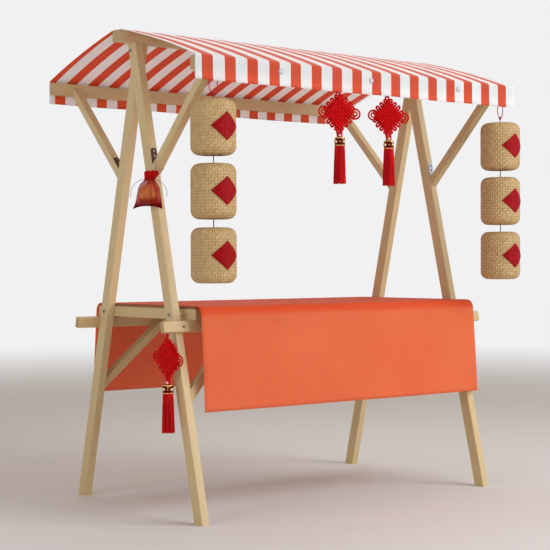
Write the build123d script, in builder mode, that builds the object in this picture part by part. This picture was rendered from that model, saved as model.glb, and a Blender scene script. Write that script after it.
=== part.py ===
from build123d import *

import os
from math import atan2, cos, radians, sin, tan

# Wooden market stall, millimetres, Z up. The floor is Z = 0, X runs along the stall,
# and the customer stands on the -Y side. Each end has a pair of splayed legs that lie
# side by side: an outer leg and, one thickness further in, an inner leg. Both ends are
# the same assembly, turned by half a turn about Z. Every piece is drawn about the middle
# of the frame, and saved with the origin under the middle of the whole stall's box.

# Long members
stall_length = 1590
frame_span = 1468
edge_ease = 1.5

# Legs
leg_width = 48
leg_thickness = 32
leg_top_height = 1734
cross_above_top = 16
foot_half_spread = 423

# Ridge and eave beams
ridge_width = 56
ridge_height = 41
eave_height = 48
eave_thickness = 22
eave_bottom = 1581
eave_reach = 494

# Struts that carry the eave beams, and the metal corner brackets above them
strut_width = 31
strut_foot_height = 1257
strut_head_drop = 35
bracket_width = 24
bracket_arm = 64
bracket_thickness = 2.5
bracket_round = 9

# Table frame
table_top_height = 761
deck_thickness = 9
deck_half_depth = 318
end_rail_height = 40
end_rail_thickness = 27
end_rail_reach_outer = 320
end_rail_reach_inner = 336
long_rail_height = 40
long_rail_thickness = 22
sleeve_diameter = 16
sleeve_bore = 8.4

# Knee braces between the legs and the long rails
brace_size = 32
brace_foot_height = 446

# Canopy, a stiff striped sheet
sheet_thickness = 2
canvas_gap = 3.6
canopy_camber = 9
valance_bottom = 1549

# Tablecloth
cloth_thickness = 1.5
cloth_bend = 34
cloth_flare = 30
cloth_hem_front = 387
cloth_hem_rear = 409
cloth_right_overhang = 31
cloth_leg_clearance = 2

# Lantern strings
lantern_diameter = 160
lantern_height = 193
lantern_shoulder = 30
lantern_pitch = 221.5
lantern_count = 3
lantern_drop = 98
string_positions = {"left": -707, "right": 735}
loop_cord = 3
loop_spread = 29
cord_clearance = 0.3
cord_bend = 2.5
stem_length = 6
tie_diameter = 8
tie_height = 12

# Knotted charms with tassels
knot_half_width = 54
knot_half_height = 74
knot_top_flat = 20
knot_side_flat = 29
knot_thickness = 13
knot_loop_radius = 19
knot_loop_place = 61
knot_turn = -38
neck_length = 17
band_diameter = 41
band_height = 32
tassel_top_diameter = 35
tassel_diameter = 46
tassel_length = 142
charm_stem = 2
charm_tie_diameter = 12
charm_tie_height = 9
charm_drop = 34
charm_positions = {"knot_charm_middle": -132, "knot_charm_right": 115}
rail_charm_overhang = 33
rail_charm_drop = 17
rail_charm_turn = -77

# Drawstring pouch that hangs from the left front strut, at the leg's outer corner. Its
# sections are (height above the neck, half width, half depth).
pouch_sections = [(29, 26, 14), (0, 18, 12), (-20, 36, 19), (-56, 45, 23), (-84, 48, 16), (-107, 54, 9)]
pouch_turn = -38
pouch_drop = 36
pouch_belly_height = 1165
pouch_side_shift = 29

# Worked out from the sizes above
cross_height = leg_top_height + cross_above_top
splay = atan2(foot_half_spread, cross_height)
leg_cut = leg_width / cos(splay)
span_half = frame_span / 2
outer_layer = leg_thickness
inner_layer = 2 * leg_thickness
eave_inner = eave_reach - eave_thickness
eave_top = eave_bottom + eave_height
ridge_top = leg_top_height + ridge_height
deck_bottom = table_top_height - deck_thickness
end_rail_bottom = deck_bottom - end_rail_height
strut_head_height = eave_top - strut_head_drop
hang_line = -(eave_inner + eave_thickness / 2)
lantern_top = eave_bottom - lantern_drop
canopy_reach = eave_reach + canvas_gap + sheet_thickness

# The whole stall reaches along to the canopy's ends or to the lanterns beyond them, and
# across from the lanterns in front to the rear valance.
left_reach = min(-stall_length / 2, string_positions["left"] - lantern_diameter / 2)
right_reach = max(stall_length / 2, string_positions["right"] + lantern_diameter / 2)
middle_x = (left_reach + right_reach) / 2
middle_y = (canopy_reach + hang_line - lantern_diameter / 2) / 2
to_origin = Location((-middle_x, -middle_y, 0))

os.makedirs("parts", exist_ok=True)


def save(piece, label):
    """Put a finished piece in its place about the origin and write it as its own file."""
    piece.part.move(to_origin)
    piece.part.label = label
    export_step(piece.part, f"parts/{label}.step")


def ease_long_edges(piece):
    """Take the sharp arris off the four long edges of a sawn batten."""
    chamfer(piece.edges().sort_by(SortBy.LENGTH)[-4:], length=edge_ease)


def leg_centre(height):
    """Distance of a leg's centre line from the stall's middle plane."""
    return foot_half_spread * (1 - height / cross_height)


def leg_outer_face(height):
    """Distance of a leg's outer face from the stall's middle plane."""
    return leg_centre(height) + leg_cut / 2


def crossing(p, p_direction, q, q_direction):
    """Point where two lines of the YZ plane meet."""
    turn = p_direction.X * q_direction.Y - p_direction.Y * q_direction.X
    gap = q - p
    run = (gap.X * q_direction.Y - gap.Y * q_direction.X) / turn
    return p + p_direction * run


def end_plane(end, depth=0):
    """Section plane of one end frame, measured inward from its outer face.

    Its X axis runs from the outer leg's side to the inner leg's side, and its Y axis up."""
    turn = 1 if end == "left" else -1
    return Plane(
        origin=(-turn * (span_half - depth), 0, 0), x_dir=(0, turn, 0), z_dir=(turn, 0, 0)
    )


def face_plane(end, side):
    """Plane of a leg's outer face. X runs inward along the stall, and Y up the leg.

    Its Z axis points out of the stall on side -1 and into it on side 1."""
    turn = 1 if end == "left" else -1
    origin = (-turn * span_half, turn * side * leg_outer_face(0), 0)
    normal = (0, -turn * cos(splay), -side * sin(splay))
    return Plane(origin=origin, x_dir=(turn, 0, 0), z_dir=normal)


# Each end frame has an outer leg on side -1 and an inner leg on side +1 of its plane.
frame_sides = {
    ("left", -1): "left_front",
    ("left", 1): "left_rear",
    ("right", -1): "right_rear",
    ("right", 1): "right_front",
}


def layer_depth(side):
    """Depth of the outer face of a leg in its end frame."""
    return 0 if side < 0 else outer_layer


# Legs: flat cut feet, flat cut tops that the ridge beam rests on.
for (end, side), place in frame_sides.items():
    with BuildPart() as leg:
        with BuildSketch(end_plane(end, layer_depth(side))):
            with BuildLine():
                foot = side * leg_centre(0)
                top = side * leg_centre(leg_top_height)
                Polyline(
                    (foot - leg_cut / 2, 0),
                    (foot + leg_cut / 2, 0),
                    (top + leg_cut / 2, leg_top_height),
                    (top - leg_cut / 2, leg_top_height),
                    close=True,
                )
            make_face()
        extrude(amount=leg_thickness)
        ease_long_edges(leg)
    save(leg, f"leg_{place}")

# Ridge beam and eave beams, all cut to the full length of the stall.
with BuildPart() as ridge_beam:
    with BuildSketch(Plane.YZ.offset(-stall_length / 2)):
        with Locations((0, leg_top_height)):
            Rectangle(ridge_width, ridge_height, align=(Align.CENTER, Align.MIN))
    extrude(amount=stall_length)
    ease_long_edges(ridge_beam)
save(ridge_beam, "ridge_beam")

for side, place in ((-1, "front"), (1, "rear")):
    with BuildPart() as eave_beam:
        with BuildSketch(Plane.YZ.offset(-stall_length / 2)):
            with Locations((side * (eave_inner + eave_thickness / 2), eave_bottom)):
                Rectangle(eave_thickness, eave_height, align=(Align.CENTER, Align.MIN))
        extrude(amount=stall_length)
        ease_long_edges(eave_beam)
    save(eave_beam, f"eave_beam_{place}")

# Struts: each lies in the plane of its leg, butts on the leg's outer face and ends
# with an upright cut on the inner face of the eave beam.
strut_foot = Vector(leg_outer_face(strut_foot_height), strut_foot_height)
strut_head = Vector(eave_inner, strut_head_height)
strut_run = (strut_head - strut_foot).normalized()
strut_up = Vector(-strut_run.Y, strut_run.X)
leg_run = Vector(-tan(splay), 1)
strut_upper = strut_foot + strut_up * (strut_width / 2)
strut_lower = strut_foot - strut_up * (strut_width / 2)
strut_corners = [
    crossing(strut_lower, strut_run, strut_foot, leg_run),
    crossing(strut_lower, strut_run, strut_head, Vector(0, 1)),
    crossing(strut_upper, strut_run, strut_head, Vector(0, 1)),
    crossing(strut_upper, strut_run, strut_foot, leg_run),
]
for (end, side), place in frame_sides.items():
    with BuildPart() as strut:
        with BuildSketch(end_plane(end, layer_depth(side))):
            with BuildLine():
                Polyline([(side * corner.X, corner.Y) for corner in strut_corners], close=True)
            make_face()
        extrude(amount=leg_thickness)
        ease_long_edges(strut)
    save(strut, f"strut_{place}")

# Corner brackets: bent strips with one arm on the leg and one on the strut.
bracket_corner = strut_corners[3]
leg_arm = bracket_corner + leg_run.normalized() * bracket_arm
strut_arm = bracket_corner + strut_run * bracket_arm
for (end, side), place in frame_sides.items():
    bracket_depth = layer_depth(side) + (leg_thickness - bracket_width) / 2
    with BuildPart() as bracket:
        with BuildSketch(end_plane(end, bracket_depth)):
            with BuildLine():
                Polyline(
                    [(side * p.X, p.Y) for p in (leg_arm, bracket_corner, strut_arm)]
                )
                offset(amount=bracket_thickness, side=Side.LEFT if side > 0 else Side.RIGHT)
            make_face()
        extrude(amount=bracket_width)
        ends = [e for e in bracket.edges() if abs(e.length - bracket_thickness) < edge_ease / 10]
        fillet(ends, radius=bracket_round)
    save(bracket, f"corner_bracket_{place}")

# End rails: bolted across the inner side of both legs of each end frame.
for end in ("left", "right"):
    with BuildPart() as end_rail:
        with BuildSketch(end_plane(end, inner_layer)):
            with BuildLine():
                Polyline(
                    (-end_rail_reach_outer, end_rail_bottom),
                    (end_rail_reach_inner, end_rail_bottom),
                    (end_rail_reach_inner, deck_bottom),
                    (-end_rail_reach_outer, deck_bottom),
                    close=True,
                )
            make_face()
        extrude(amount=end_rail_thickness)
        ease_long_edges(end_rail)
    save(end_rail, f"end_rail_{end}")

    # The outer leg stands one leg thickness off the end rail: a sleeve fills that gap.
    bolt_height = end_rail_bottom + end_rail_height / 2
    with BuildPart() as bolt_sleeve:
        with BuildSketch(end_plane(end, outer_layer)):
            with Locations((-leg_centre(bolt_height), bolt_height)):
                Circle(sleeve_diameter / 2)
                Circle(sleeve_bore / 2, mode=Mode.SUBTRACT)
        extrude(amount=inner_layer - outer_layer)
    save(bolt_sleeve, f"bolt_sleeve_{end}")

# Middle bearer of the deck.
with BuildPart() as deck_bearer:
    with BuildSketch(Plane.YZ.offset(-end_rail_thickness / 2)):
        with Locations((0, end_rail_bottom)):
            Rectangle(
                2 * deck_half_depth, end_rail_height, align=(Align.CENTER, Align.MIN)
            )
    extrude(amount=end_rail_thickness)
    ease_long_edges(deck_bearer)
save(deck_bearer, "deck_bearer")

# Long rails: bolted flat on the sloping outer faces of the legs, with their upper
# outer edge under the end rails.
rail_top = (end_rail_bottom - long_rail_thickness * sin(splay)) / cos(splay)
rail_bottom = rail_top - long_rail_height
rail_end = (stall_length - frame_span) / 2
for side, place in ((-1, "front"), (1, "rear")):
    with BuildPart() as long_rail:
        with BuildSketch(face_plane("left", side)):
            with Locations((frame_span / 2, rail_bottom)):
                Rectangle(
                    stall_length, long_rail_height, align=(Align.CENTER, Align.MIN)
                )
        extrude(amount=-side * long_rail_thickness)
        ease_long_edges(long_rail)
    save(long_rail, f"long_rail_{place}")

# Knee braces: flush with the leg's outer face, from the leg's inner side up to the
# back of the long rail.
brace_foot = brace_foot_height / cos(splay)
brace_half_cut = brace_size / 2 / cos(radians(45))
for (end, side), place in frame_sides.items():
    start = outer_layer if side < 0 else inner_layer
    head = start + rail_top - brace_foot
    with BuildPart() as knee_brace:
        with BuildSketch(face_plane(end, side)):
            with BuildLine():
                Polyline(
                    (start, brace_foot - brace_half_cut),
                    (head + brace_half_cut, rail_top),
                    (head - brace_half_cut, rail_top),
                    (start, brace_foot + brace_half_cut),
                    close=True,
                )
            make_face()
        extrude(amount=side * brace_size)
        ease_long_edges(knee_brace)
    save(knee_brace, f"knee_brace_{place}")

# Deck: one board between the end frames.
deck_half_length = span_half - inner_layer
with BuildPart() as table_deck:
    with BuildSketch(Plane.XY.offset(deck_bottom)):
        Rectangle(2 * deck_half_length, 2 * deck_half_depth)
    extrude(amount=deck_thickness)
save(table_deck, "table_deck")

# Tablecloth: a stiff cloth that bends over the front and rear edges and hangs.
cloth_left = -deck_half_length
cloth_right = deck_half_length + cloth_right_overhang
cloth_top = table_top_height + cloth_thickness
cloth_reach = deck_half_depth + cloth_bend + cloth_thickness
notch_inner = leg_centre(cloth_top) - leg_cut / 2 - cloth_leg_clearance
notch_outer = leg_centre(table_top_height) + leg_cut / 2 + cloth_leg_clearance
with BuildPart() as tablecloth:
    with BuildSketch(Plane.YZ.offset(cloth_left)):
        with BuildLine():
            Polyline(
                (-cloth_reach - cloth_flare, cloth_hem_front),
                (-cloth_reach, cloth_top),
                (cloth_reach, cloth_top),
                (cloth_reach + cloth_flare, cloth_hem_rear),
                (cloth_reach + cloth_flare - cloth_thickness, cloth_hem_rear),
                (cloth_reach - cloth_thickness, table_top_height),
                (-cloth_reach + cloth_thickness, table_top_height),
                (-cloth_reach - cloth_flare + cloth_thickness, cloth_hem_front),
                close=True,
            )
        make_face()
        fillet(vertices().group_by(Axis.Y)[-2], radius=cloth_bend)
        fillet(vertices().group_by(Axis.Y)[-1], radius=cloth_bend + cloth_thickness)
    extrude(amount=cloth_right - cloth_left)
    with BuildSketch(Plane.XY.offset(table_top_height)):
        with Locations((deck_half_length, -(notch_inner + notch_outer) / 2)):
            Rectangle(
                cloth_right_overhang,
                notch_outer - notch_inner,
                align=(Align.MIN, Align.CENTER),
            )
    extrude(amount=cloth_thickness, mode=Mode.SUBTRACT)
save(tablecloth, "tablecloth")

# Canopy: one sheet over the ridge and both eave beams, with a hanging valance on
# each side. Between the beams it bows up a little, because the sheet is stiff.
canopy_eave = eave_top + canvas_gap + sheet_thickness
canopy_top = ridge_top + sheet_thickness


def canopy_edge(inset):
    """One face of the sheet, hem to hem, drawn inset inside the outer face."""
    hem = canopy_reach - inset
    eave = canopy_eave - inset
    top = canopy_top - inset
    half = ridge_width / 2
    Line((-hem, valance_bottom), (-hem, eave))
    SagittaArc((-hem, eave), (-half, top), canopy_camber)
    Line((-half, top), (half, top))
    SagittaArc((half, top), (hem, eave), canopy_camber)
    Line((hem, eave), (hem, valance_bottom))


with BuildPart() as canopy:
    with BuildSketch(Plane.YZ.offset(-stall_length / 2)):
        with BuildLine():
            canopy_edge(0)
            canopy_edge(sheet_thickness)
            for hem_side in (-1, 1):
                Line(
                    (hem_side * canopy_reach, valance_bottom),
                    (hem_side * (canopy_reach - sheet_thickness), valance_bottom),
                )
        make_face()
    extrude(amount=stall_length)
save(canopy, "canopy")

# Lantern strings: drums of woven cane on a cord that is looped over the front eave beam.
cord_offset = loop_cord / 2 + cord_clearance
front_strand = -(eave_reach + cord_offset)
rear_strand = -(eave_inner - cord_offset)


def eave_loop(x, apex_height, spread):
    """Corners of a cord loop around the front eave beam that closes below it at x."""
    low = eave_bottom - cord_offset
    high = eave_top + cord_offset
    return [
        (x, hang_line, apex_height),
        (x - spread, front_strand, low),
        (x - spread, front_strand, high),
        (x + spread, rear_strand, high),
        (x + spread, rear_strand, low),
    ]


def cord_loop(corners):
    """A closed round cord through the corners."""
    with BuildPart() as cord:
        with BuildLine():
            loop = FilletPolyline(*corners, radius=cord_bend, close=True)
        with BuildSketch(Plane(origin=loop @ 0.05, z_dir=loop % 0.05)):
            Circle(loop_cord / 2)
        sweep(path=loop)
    return cord.part


for place, x in string_positions.items():
    for number in range(lantern_count):
        top = lantern_top - number * lantern_pitch
        with BuildPart() as lantern:
            with Locations((x, hang_line, top)):
                Cylinder(
                    lantern_diameter / 2,
                    lantern_height,
                    align=(Align.CENTER, Align.CENTER, Align.MAX),
                )
            fillet(lantern.edges().filter_by(GeomType.CIRCLE), radius=lantern_shoulder)
        save(lantern, f"lantern_{place}_{number + 1}")

    hanger = cord_loop(eave_loop(x, lantern_top + stem_length + tie_height / 4, loop_spread))
    with BuildPart() as lantern_cord:
        add(hanger)
        with Locations((x, hang_line, lantern_top)):
            Cylinder(
                loop_cord / 2,
                stem_length,
                align=(Align.CENTER, Align.CENTER, Align.MIN),
            )
        with Locations((x, hang_line, lantern_top + stem_length)):
            Cylinder(
                tie_diameter / 2,
                tie_height,
                align=(Align.CENTER, Align.CENTER, Align.MIN),
            )
        for number in range(1, lantern_count):
            with Locations((x, hang_line, lantern_top - number * lantern_pitch)):
                Cylinder(
                    loop_cord / 2,
                    lantern_pitch - lantern_height,
                    align=(Align.CENTER, Align.CENTER, Align.MIN),
                )
    save(lantern_cord, f"lantern_cord_{place}")


def knot_charm(x, y, top, turn):
    """A flat square knot on its blunt corner, with side loops, a band and a tassel."""
    across = (cos(turn), sin(turn), 0)
    facing = (sin(turn), -cos(turn), 0)
    knot_plane = Plane(origin=(x, y, top - knot_half_height), x_dir=across, z_dir=facing)
    band_top = top - 2 * knot_half_height - neck_length
    on_top = (Align.CENTER, Align.CENTER, Align.MAX)
    with BuildPart() as charm:
        with BuildSketch(knot_plane):
            with BuildLine():
                Polyline(
                    (knot_half_width, knot_side_flat),
                    (knot_top_flat, knot_half_height),
                    (-knot_top_flat, knot_half_height),
                    (-knot_half_width, knot_side_flat),
                    (-knot_half_width, -knot_side_flat),
                    (-knot_top_flat, -knot_half_height),
                    (knot_top_flat, -knot_half_height),
                    (knot_half_width, -knot_side_flat),
                    close=True,
                )
            make_face()
            with Locations((knot_loop_place, 0), (-knot_loop_place, 0)):
                Circle(knot_loop_radius)
        extrude(amount=knot_thickness / 2, both=True)
        with Locations((x, y, top + charm_stem + charm_tie_height)):
            Cylinder(charm_tie_diameter / 2, charm_tie_height, align=on_top)
        with Locations((x, y, top + charm_stem)):
            Cylinder(loop_cord / 2, charm_stem + knot_thickness / 2, align=on_top)
        with Locations((x, y, band_top + 2 * neck_length)):
            Cylinder(knot_thickness / 2, 2 * neck_length, align=on_top)
        with Locations((x, y, band_top)):
            Cylinder(band_diameter / 2, band_height, align=on_top)
        with Locations((x, y, band_top - band_height)):
            Cone(tassel_diameter / 2, tassel_top_diameter / 2, tassel_length, align=on_top)
    return charm.part


# Two charms hang from the front eave beam, right of the middle.
for label, x in charm_positions.items():
    charm_top = eave_bottom - charm_drop
    hanger = cord_loop(eave_loop(x, charm_top + charm_stem + charm_tie_height / 4, 0))
    knot = knot_charm(x, hang_line, charm_top, radians(knot_turn))
    with BuildPart() as charm:
        add(hanger)
        add(knot)
    save(charm, label)

# A third charm hangs from the underside of the front long rail's overhanging left end.
rail_plane = face_plane("left", -1)
rail_spot = rail_plane.from_local_coords((-rail_charm_overhang, rail_bottom, long_rail_thickness / 2))
rail_charm_top = rail_spot.Z - rail_charm_drop
rail_underside = Plane(origin=rail_spot, z_dir=rail_plane.y_dir)
knot = knot_charm(rail_spot.X, rail_spot.Y, rail_charm_top, radians(rail_charm_turn))
with BuildPart() as rail_charm:
    with Locations((rail_spot.X, rail_spot.Y, rail_charm_top + charm_stem)):
        Cylinder(
            loop_cord / 2,
            rail_charm_drop + loop_cord,
            align=(Align.CENTER, Align.CENTER, Align.MIN),
        )
    split(bisect_by=rail_underside, keep=Keep.BOTTOM)
    add(knot)
save(rail_charm, "knot_charm_rail")

# Pouch: its cord is looped over the foot of the left front strut. The bag lies on the
# leg's outer corner, turned toward the customer.
pouch_belly = max(depth for _, _, depth in pouch_sections) + cord_clearance
turn_across = Vector(cos(radians(pouch_turn)), sin(radians(pouch_turn)))
turn_out = Vector(sin(radians(pouch_turn)), -cos(radians(pouch_turn)))
leg_corner = Vector(-span_half, -leg_outer_face(pouch_belly_height))
pouch_place = leg_corner + turn_out * pouch_belly - turn_across * pouch_side_shift
pouch_x = pouch_place.X
pouch_y = pouch_place.Y
plumb = Vector(-pouch_y, 0)
strut_over = crossing(strut_upper, strut_run, plumb, Vector(0, 1)).Y
strut_under = crossing(strut_lower, strut_run, plumb, Vector(0, 1)).Y
pouch_neck = strut_under - pouch_drop
outer_strand = -span_half - cord_offset
inner_strand = -span_half + leg_thickness + cord_offset
pouch_loop = [
    (pouch_x, pouch_y, pouch_neck - loop_cord),
    (outer_strand, pouch_y, strut_under),
    (outer_strand, pouch_y, strut_over + 2 * loop_cord),
    (inner_strand, pouch_y, strut_over + 2 * loop_cord),
    (inner_strand, pouch_y, strut_under - loop_cord),
]
with BuildPart() as gift_pouch:
    for height, half_width, half_depth in pouch_sections:
        with BuildSketch(Plane.XY.offset(pouch_neck + height)):
            with Locations((pouch_x, pouch_y)):
                SlotOverall(2 * half_width, 2 * half_depth, rotation=pouch_turn)
    loft(ruled=True)
    add(cord_loop(pouch_loop))
save(gift_pouch, "gift_pouch")
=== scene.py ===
import random
from math import atan2, cos, pi, radians, sin, sqrt, tan

import bmesh
import bpy
from mathutils import Matrix, Quaternion, Vector, noise


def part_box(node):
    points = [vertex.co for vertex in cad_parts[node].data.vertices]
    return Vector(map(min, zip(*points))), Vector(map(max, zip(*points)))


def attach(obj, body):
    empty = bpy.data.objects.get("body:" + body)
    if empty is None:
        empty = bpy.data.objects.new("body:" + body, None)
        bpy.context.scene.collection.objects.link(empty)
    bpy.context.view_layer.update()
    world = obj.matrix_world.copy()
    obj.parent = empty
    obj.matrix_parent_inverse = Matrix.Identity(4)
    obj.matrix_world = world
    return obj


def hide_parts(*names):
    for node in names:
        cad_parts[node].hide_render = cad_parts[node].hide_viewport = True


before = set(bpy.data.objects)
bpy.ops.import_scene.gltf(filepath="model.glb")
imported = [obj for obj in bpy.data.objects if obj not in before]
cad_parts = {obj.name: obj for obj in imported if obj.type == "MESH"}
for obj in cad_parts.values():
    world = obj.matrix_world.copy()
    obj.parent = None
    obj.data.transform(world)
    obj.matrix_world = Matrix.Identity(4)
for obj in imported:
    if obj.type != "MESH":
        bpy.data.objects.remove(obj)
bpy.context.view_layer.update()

# The stall is drawn about the middle of its wooden frame, which is the middle of the
# ridge beam. Everything below is in metres about that point, on the floor.
ridge_low, ridge_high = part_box("ridge_beam")
middle = Vector(((ridge_low.x + ridge_high.x) / 2, (ridge_low.y + ridge_high.y) / 2, 0))

# Camera of a tripod photograph, from the customer's side and a little left of the stall,
# at about the height of the tablecloth's hem, with a long lens held almost level.
camera_place = Vector((-3.6565, -4.5621, 0.9206))
camera_yaw = radians(38.285)
camera_pitch = radians(-0.520)
camera_roll = radians(-0.185)
camera_data = bpy.data.cameras.new("camera")
camera_data.sensor_width = 36
camera_data.lens = 95.02
camera = bpy.data.objects.new("camera", camera_data)
look = Vector((
    sin(camera_yaw) * cos(camera_pitch),
    cos(camera_yaw) * cos(camera_pitch),
    sin(camera_pitch),
))
camera.rotation_mode = "QUATERNION"
camera.rotation_quaternion = look.to_track_quat("-Z", "Y") @ Quaternion((0, 0, 1), camera_roll)
camera.location = camera_place + middle
bpy.context.scene.collection.objects.link(camera)
bpy.context.scene.camera = camera
bpy.context.scene.view_settings.view_transform = "Standard"


def linear(code):
    """A colour written as sRGB hex, turned to the linear values that the shaders take."""
    parts = [int(code[i:i + 2], 16) / 255 for i in (0, 2, 4)]
    return [p / 12.92 if p <= 0.04045 else ((p + 0.055) / 1.055) ** 2.4 for p in parts] + [1]


def node(tree, kind, inputs=None, stops=None, out=0, **settings):
    """Add one shader node and give one of its sockets: inputs are values or sockets."""
    made = tree.nodes.new("ShaderNode" + kind)
    for name, value in settings.items():
        setattr(made, name, value)
    for name, value in (inputs or {}).items():
        if isinstance(value, bpy.types.NodeSocket):
            tree.links.new(value, made.inputs[name])
        else:
            made.inputs[name].default_value = value
    for place, shade in stops or []:
        if place in (stops[0][0], stops[-1][0]):
            step = made.color_ramp.elements[0 if place == stops[0][0] else -1]
            step.position = place
        else:
            step = made.color_ramp.elements.new(place)
        step.color = shade
    return made.outputs[out] if made.outputs else made


# Studio: a pale floor that fades into a pale surround, a wide soft lamp in front and to
# the right, a fill from the left, one above, and an even soft light from all round.
backdrop = linear("F1F1F2")
fade_from = 3.0
fade_to = 11.0
world = bpy.data.worlds.new("studio")
world.use_nodes = True
tree = world.node_tree
tree.nodes.clear()
path = node(tree, "LightPath").node.outputs
seen = path["Is Camera Ray"]
for ray in ("Is Glossy Ray", "Is Transmission Ray"):
    seen = node(tree, "Math", {0: seen, 1: path[ray]}, operation="MAXIMUM")
soft = node(tree, "Background", {"Color": linear("F6E1C8"), "Strength": 0.37})
pale = node(tree, "Background", {"Color": backdrop, "Strength": 1.0})
both = node(tree, "MixShader", {0: seen, 1: soft, 2: pale})
node(tree, "OutputWorld", {"Surface": both})
bpy.context.scene.world = world

floor_mesh = bpy.data.meshes.new("floor")
shape = bmesh.new()
bmesh.ops.create_circle(shape, cap_ends=True, radius=60, segments=64)
shape.to_mesh(floor_mesh)
shape.free()
floor = bpy.data.objects.new("floor", floor_mesh)
bpy.context.scene.collection.objects.link(floor)
floor_paint = bpy.data.materials.new("pale_studio_floor")
floor_paint.use_nodes = True
tree = floor_paint.node_tree
tree.nodes.clear()
place = node(tree, "TexCoord", out="Object")
away = node(tree, "VectorMath", {0: place}, out="Value", operation="LENGTH")
fade = node(tree, "MapRange", {"Value": away, "From Min": fade_from, "From Max": fade_to},
            interpolation_type="SMOOTHSTEP")
near = node(tree, "BsdfDiffuse", {"Color": linear("E9E8E7")})
far = node(tree, "Emission", {"Color": backdrop, "Strength": 1.0})
both = node(tree, "MixShader", {0: fade, 1: near, 2: far})
node(tree, "OutputMaterial", {"Surface": both})
floor_mesh.materials.append(floor_paint)

for name, spot, size, power, tint in (
    ("key_lamp", (2.5, -5.1, 3.4), 5.0, 308, "F6F8FF"),
    ("fill_lamp", (-5.4, -1.6, 2.0), 3.0, 74, "E2ECFF"),
    ("top_lamp", (0.6, 1.2, 5.0), 3.0, 46, "F4F8FF"),
):
    lamp_data = bpy.data.lights.new(name, "AREA")
    lamp_data.size = size
    lamp_data.energy = power
    lamp_data.color = linear(tint)[:3]
    lamp = bpy.data.objects.new(name, lamp_data)
    lamp.location = Vector(spot) + middle
    aim = Vector((0, 0, 0.95)) - Vector(spot)
    lamp.rotation_mode = "QUATERNION"
    lamp.rotation_quaternion = aim.to_track_quat("-Z", "Y")
    bpy.context.scene.collection.objects.link(lamp)

# Battens: sawn and planed pine, rubbed with a little clear oil. Each piece has its own
# grain, which runs along it: faint rings of late wood, fine fibre, and end grain that
# drinks the oil and looks darker.
foot_half = 0.423
leg_meet = 1.750
splay = atan2(foot_half, leg_meet)
strut_rise = (0.328, 0.337)
ring_width = 0.0034
fibre_width = 0.0007
pine_light = linear("DCC899")
pine_mid = linear("CDB079")
pine_dark = linear("AE884B")


def fresh_material(name):
    """A new material with its node tree, and the places and normals of what wears it."""
    made = bpy.data.materials.new(name)
    made.use_nodes = True
    held = node(made.node_tree, "TexCoord").node.outputs
    return made, made.node_tree, held["Object"], held["Normal"]


def feed(made, tone, rough, height=None, strength=0.3, distance=0.0002, **values):
    """Feed a material's shader with its colour, roughness, relief and plain values."""
    tree = made.node_tree
    shader = tree.nodes["Principled BSDF"]
    tree.links.new(tone, shader.inputs["Base Color"])
    tree.links.new(rough, shader.inputs["Roughness"])
    if height:
        relief = node(tree, "Bump", {"Height": height, "Strength": strength, "Distance": distance})
        tree.links.new(relief, shader.inputs["Normal"])
    for name, value in values.items():
        shader.inputs[name.replace("_", " ")].default_value = value
    return made


def pine(name, run, seed):
    """Pine with its grain along run. The seed moves the log that the piece was cut from."""
    dice = random.Random(seed)
    made, tree, place, normal = fresh_material(name)
    turn = Vector(run).to_track_quat("X", "Z").to_euler()
    pith = (dice.uniform(-3, 3), dice.uniform(0.07, 0.16),
            dice.choice((-1, 1)) * dice.uniform(0.05, 0.12))
    along = node(tree, "Mapping", {"Vector": place, "Rotation": turn}, vector_type="TEXTURE")
    log = node(tree, "VectorMath", {0: along, 1: pith}, operation="ADD")
    slow = node(tree, "Mapping", {"Vector": log, "Scale": (0.9, 9, 9)})
    bend = node(tree, "TexNoise", {"Vector": slow, "Scale": 1.6, "Detail": 2.0}, out="Color")
    bent = node(tree, "VectorMath", {0: bend, 1: (0.5, 0.5, 0.5)}, operation="SUBTRACT")
    bent = node(tree, "VectorMath", {0: bent, 1: (0, 0.02, 0.02)}, operation="MULTIPLY")
    log = node(tree, "VectorMath", {0: log, 1: bent}, operation="ADD")
    rings = node(tree, "TexWave", {"Vector": log, "Scale": pi / 10 / ring_width, "Distortion": 0.6,
                                   "Detail": 1.0, "Detail Scale": 0.3},
                 out="Fac", wave_type="RINGS", rings_direction="X", wave_profile="SAW")
    thread = node(tree, "Mapping", {"Vector": log, "Scale": (14, 1 / fibre_width, 1 / fibre_width)})
    fibre = node(tree, "TexNoise", {"Vector": thread, "Scale": 1.0, "Detail": 3.0, "Roughness": 0.6})
    cloud = node(tree, "TexNoise", {"Vector": slow, "Scale": 0.9, "Detail": 3.0})
    late = node(tree, "ValToRGB", {"Fac": rings},
                stops=[(0.0, pine_light), (0.62, pine_light), (0.93, pine_mid), (1.0, pine_dark)])
    early = node(tree, "ValToRGB", {"Fac": cloud}, stops=[(0.32, pine_mid), (0.68, pine_light)])
    grain = node(tree, "Mix", {0: 0.5, 6: early, 7: late}, out=2, data_type="RGBA")
    streak = node(tree, "ValToRGB", {"Fac": fibre},
                  stops=[(0.3, linear("DDCFBE")), (0.62, linear("FFFFFF"))])
    grain = node(tree, "Mix", {0: 0.6, 6: grain, 7: streak}, out=2,
                 data_type="RGBA", blend_type="MULTIPLY")
    facing_end = node(tree, "VectorMath", {0: normal, 1: Vector(run).normalized()}, out="Value",
                      operation="DOT_PRODUCT")
    ends = node(tree, "Math", {0: facing_end}, operation="ABSOLUTE")
    ends = node(tree, "MapRange", {"Value": ends, "From Min": 0.6, "From Max": 0.9, "To Max": 0.45})
    grain = node(tree, "Mix", {0: ends, 6: grain, 7: pine_dark}, out=2,
                 data_type="RGBA", blend_type="MULTIPLY")
    shine = node(tree, "MapRange", {"Value": fibre, "To Min": 0.42, "To Max": 0.62})
    height = node(tree, "Math", {0: rings, 1: 0.35}, operation="MULTIPLY")
    height = node(tree, "Math", {0: height, 1: fibre}, operation="ADD")
    return feed(made, grain, shine, height, 0.35)


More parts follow.
